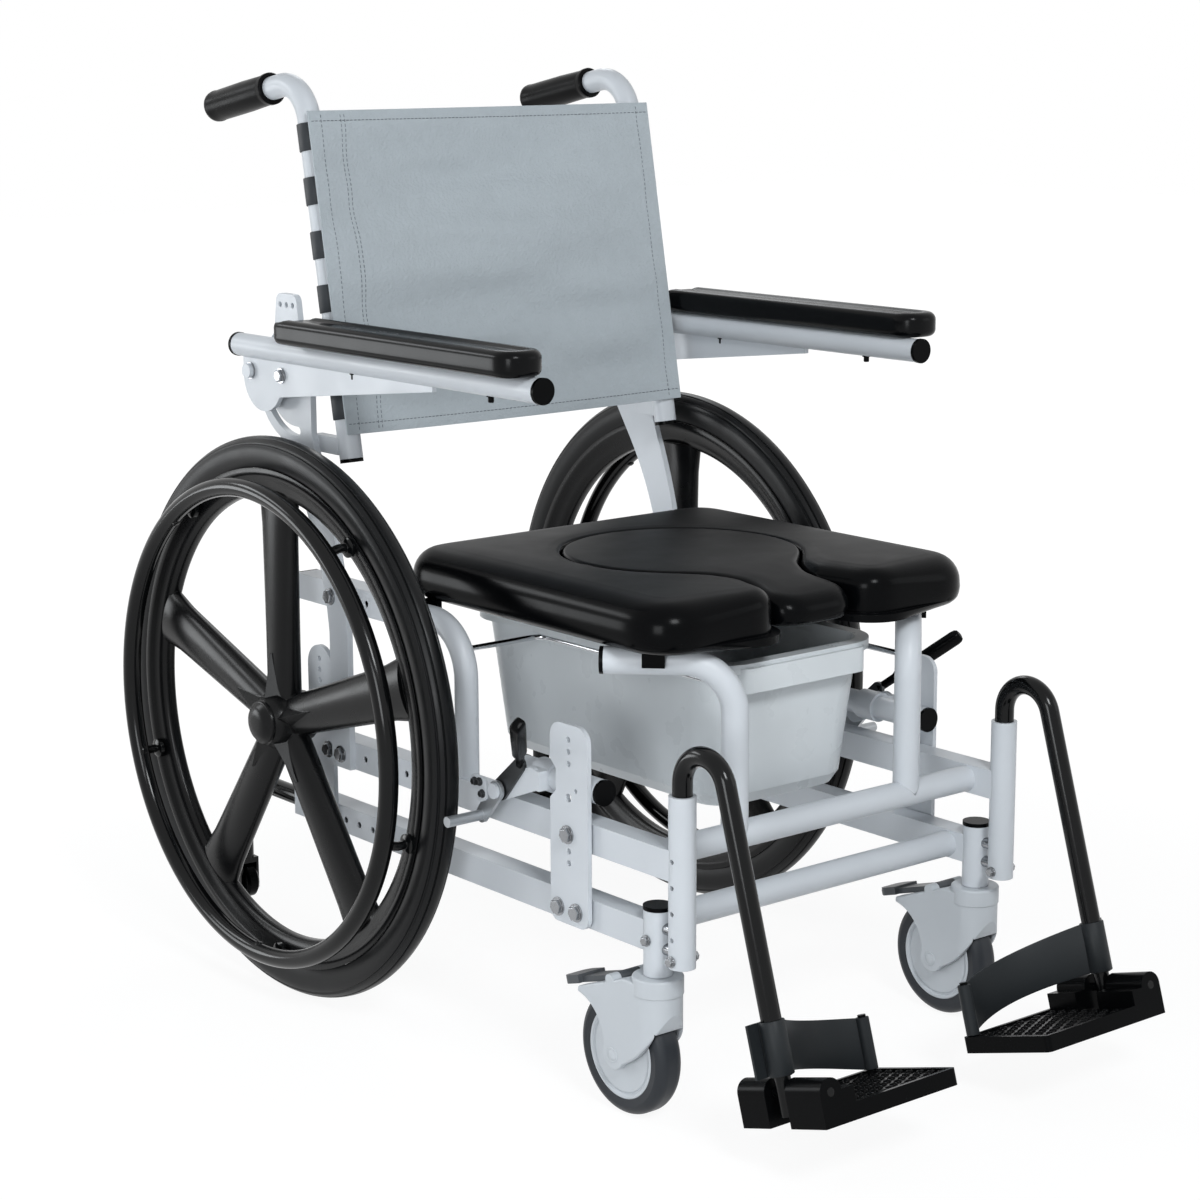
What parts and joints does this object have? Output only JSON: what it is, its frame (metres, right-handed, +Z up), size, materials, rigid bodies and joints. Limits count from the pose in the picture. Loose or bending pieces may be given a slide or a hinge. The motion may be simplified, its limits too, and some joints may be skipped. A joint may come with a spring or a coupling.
{
  "type": "shower commode chair",
  "caption": "Self-propelled shower commode chair with keyhole seat and lift-out insert, slide-out pan, flip-up armrests, swing-away footrests, wheel locks and canvas back.",
  "frame": {"origin": "floor, under the middle of the chair's length and width", "axes": "+X to the user's left, -Y the way the chair faces, +Z up"},
  "size_m": [0.666, 1.096, 0.9855],
  "materials": {
    "white_frame": "gloss powder coat",
    "grey_metal": "satin",
    "black_metal": "gloss",
    "steel": "satin",
    "chrome_wire": "polished",
    "black_plastic": "satin",
    "grey_plastic": "satin",
    "white_plastic": "gloss",
    "black_rubber": "matt",
    "black_cushion": "grained skin",
    "tyre": "matt",
    "caster_rubber": "matt",
    "grey_canvas": "woven"
  },
  "bodies": {
    "frame": {"upper_rails": "white_frame", "lower_rails": "white_frame", "cross_tubes": "white_frame", "caster_stem_tubes": "white_frame", "footrest_receivers": "white_frame", "front_plates": "white_frame", "axle_plates": "white_frame", "spacers": "steel", "front_seat_legs": "white_frame", "rear_seat_legs": "white_frame", "seat_rails": "white_frame", "side_posts": "white_frame", "back_canes": "white_frame", "hand_grips": "black_rubber", "back_canvas": "grey_canvas", "canvas_straps": "grey_canvas", "axles": "steel", "brake_tubes": "white_frame", "brake_clamps": "white_frame", "anti_tip_tubes": "black_metal", "frame_bolts": "steel", "tube_caps": "black_plastic", "pan_carrier": "chrome_wire"},
    "seat": {"seat_pad": "black_cushion"},
    "insert": {"seat_insert": "black_cushion"},
    "pan": {"pan": "white_plastic"},
    "left_drive_wheel": {"left_tyre": "tyre", "left_wheel": "black_plastic", "left_handrim": "black_metal", "left_hub_cap": "black_plastic"},
    "left_caster_swivel": {"left_caster_fork": "grey_plastic"},
    "left_caster_lock": {"left_caster_pedal": "black_plastic"},
    "left_caster_roller": {"left_caster_wheel": "grey_plastic", "left_caster_tyre": "caster_rubber"},
    "left_armrest": {"left_armrest_frame": "white_frame", "left_armrest_caps": "black_plastic", "left_armrest_pad": "black_cushion"},
    "left_footrest": {"left_footrest_hanger": "black_metal", "left_heel_strap": "grey_canvas"},
    "left_foot_plate": {"left_footplate": "black_plastic"},
    "left_lock_lever": {"left_brake_lever": "black_metal"},
    "left_lock_bar": {"left_brake_bar": "grey_metal"},
    "left_tipper_roller": {"left_anti_tip_wheel": "black_plastic"},
    "right_drive_wheel": {"right_tyre": "tyre", "right_wheel": "black_plastic", "right_handrim": "black_metal", "right_hub_cap": "black_plastic"},
    "right_caster_swivel": {"right_caster_fork": "grey_plastic"},
    "right_caster_lock": {"right_caster_pedal": "black_plastic"},
    "right_caster_roller": {"right_caster_wheel": "grey_plastic", "right_caster_tyre": "caster_rubber"},
    "right_armrest": {"right_armrest_frame": "white_frame", "right_armrest_caps": "black_plastic", "right_armrest_pad": "black_cushion"},
    "right_footrest": {"right_footrest_hanger": "black_metal", "right_heel_strap": "grey_canvas"},
    "right_foot_plate": {"right_footplate": "black_plastic"},
    "right_lock_lever": {"right_brake_lever": "black_metal"},
    "right_lock_bar": {"right_brake_bar": "grey_metal"},
    "right_tipper_roller": {"right_anti_tip_wheel": "black_plastic"}
  },
  "joints": [
    {"name": "left_wheel_spin", "type": "hinge", "parent": "frame", "child": "left_drive_wheel", "pos_m": [0.2805, 0.2435, 0.305], "axis": [1, 0, 0], "continuous": true},
    {"name": "left_caster_turn", "type": "hinge", "parent": "frame", "child": "left_caster_swivel", "pos_m": [0.218, -0.3015, 0.15], "axis": [0, 0, 1], "continuous": true},
    {"name": "left_caster_roll", "type": "hinge", "parent": "left_caster_swivel", "child": "left_caster_roller", "pos_m": [0.218, -0.2615, 0.0625], "axis": [1, 0, 0], "continuous": true},
    {"name": "left_caster_lock_press", "type": "hinge", "parent": "left_caster_swivel", "child": "left_caster_lock", "pos_m": [0.218, -0.2575, 0.137], "axis": [-1, 0, 0], "range_deg": [0, 11]},
    {"name": "left_armrest_flip", "type": "hinge", "parent": "frame", "child": "left_armrest", "pos_m": [0.252, 0.274, 0.67], "axis": [-1, 0, 0], "range_deg": [0, 90]},
    {"name": "left_footrest_swing", "type": "hinge", "parent": "frame", "child": "left_footrest", "pos_m": [0.218, -0.3365, 0.2], "axis": [0, 0, 1], "range_deg": [0, 90]},
    {"name": "left_footplate_flip", "type": "hinge", "parent": "left_footrest", "child": "left_foot_plate", "pos_m": [0.218, -0.4791, 0.086], "axis": [0, 0.9563, -0.2924], "range_deg": [0, 90], "deforming": ["left_heel_strap"]},
    {"name": "left_lock_lever_turn", "type": "hinge", "parent": "frame", "child": "left_lock_lever", "pos_m": [0.247, -0.0945, 0.292], "axis": [-1, 0, 0], "range_deg": [0, 50]},
    {"name": "left_lock_bar_turn", "type": "hinge", "parent": "frame", "child": "left_lock_bar", "pos_m": [0.252, -0.0945, 0.292], "axis": [1, 0, 0], "range_deg": [0, 10.5]},
    {"name": "left_tipper_roll", "type": "hinge", "parent": "frame", "child": "left_tipper_roller", "pos_m": [0.218, 0.4385, 0.064], "axis": [1, 0, 0], "continuous": true},
    {"name": "right_wheel_spin", "type": "hinge", "parent": "frame", "child": "right_drive_wheel", "pos_m": [-0.2805, 0.2435, 0.305], "axis": [1, 0, 0], "continuous": true},
    {"name": "right_caster_turn", "type": "hinge", "parent": "frame", "child": "right_caster_swivel", "pos_m": [-0.218, -0.3015, 0.15], "axis": [0, 0, 1], "continuous": true},
    {"name": "right_caster_roll", "type": "hinge", "parent": "right_caster_swivel", "child": "right_caster_roller", "pos_m": [-0.218, -0.2615, 0.0625], "axis": [1, 0, 0], "continuous": true},
    {"name": "right_caster_lock_press", "type": "hinge", "parent": "right_caster_swivel", "child": "right_caster_lock", "pos_m": [-0.218, -0.2575, 0.137], "axis": [-1, 0, 0], "range_deg": [0, 11]},
    {"name": "right_armrest_flip", "type": "hinge", "parent": "frame", "child": "right_armrest", "pos_m": [-0.252, 0.274, 0.67], "axis": [-1, 0, 0], "range_deg": [0, 90]},
    {"name": "right_footrest_swing", "type": "hinge", "parent": "frame", "child": "right_footrest", "pos_m": [-0.218, -0.3365, 0.2], "axis": [0, 0, -1], "range_deg": [0, 90]},
    {"name": "right_footplate_flip", "type": "hinge", "parent": "right_footrest", "child": "right_foot_plate", "pos_m": [-0.218, -0.4791, 0.086], "axis": [0, -0.9563, 0.2924], "range_deg": [0, 90], "deforming": ["right_heel_strap"]},
    {"name": "right_lock_lever_turn", "type": "hinge", "parent": "frame", "child": "right_lock_lever", "pos_m": [-0.247, -0.0945, 0.292], "axis": [-1, 0, 0], "range_deg": [0, 50]},
    {"name": "right_lock_bar_turn", "type": "hinge", "parent": "frame", "child": "right_lock_bar", "pos_m": [-0.252, -0.0945, 0.292], "axis": [1, 0, 0], "range_deg": [0, 10.5]},
    {"name": "right_tipper_roll", "type": "hinge", "parent": "frame", "child": "right_tipper_roller", "pos_m": [-0.218, 0.4385, 0.064], "axis": [1, 0, 0], "continuous": true},
    {"name": "seat_lift", "type": "slide", "parent": "frame", "child": "seat", "axis": [0, 0, 1], "range_m": [0, 0.12]},
    {"name": "insert_lift", "type": "slide", "parent": "seat", "child": "insert", "axis": [0, 0, 1], "range_m": [0, 0.1]},
    {"name": "pan_slide", "type": "slide", "parent": "frame", "child": "pan", "axis": [0, 1, 0], "range_m": [0, 0.4]}
  ],
  "couplings": [
    {"joint": "left_lock_bar_turn", "follows": "left_lock_lever_turn", "ratio": 0.21},
    {"joint": "right_lock_bar_turn", "follows": "right_lock_lever_turn", "ratio": 0.21}
  ]
}
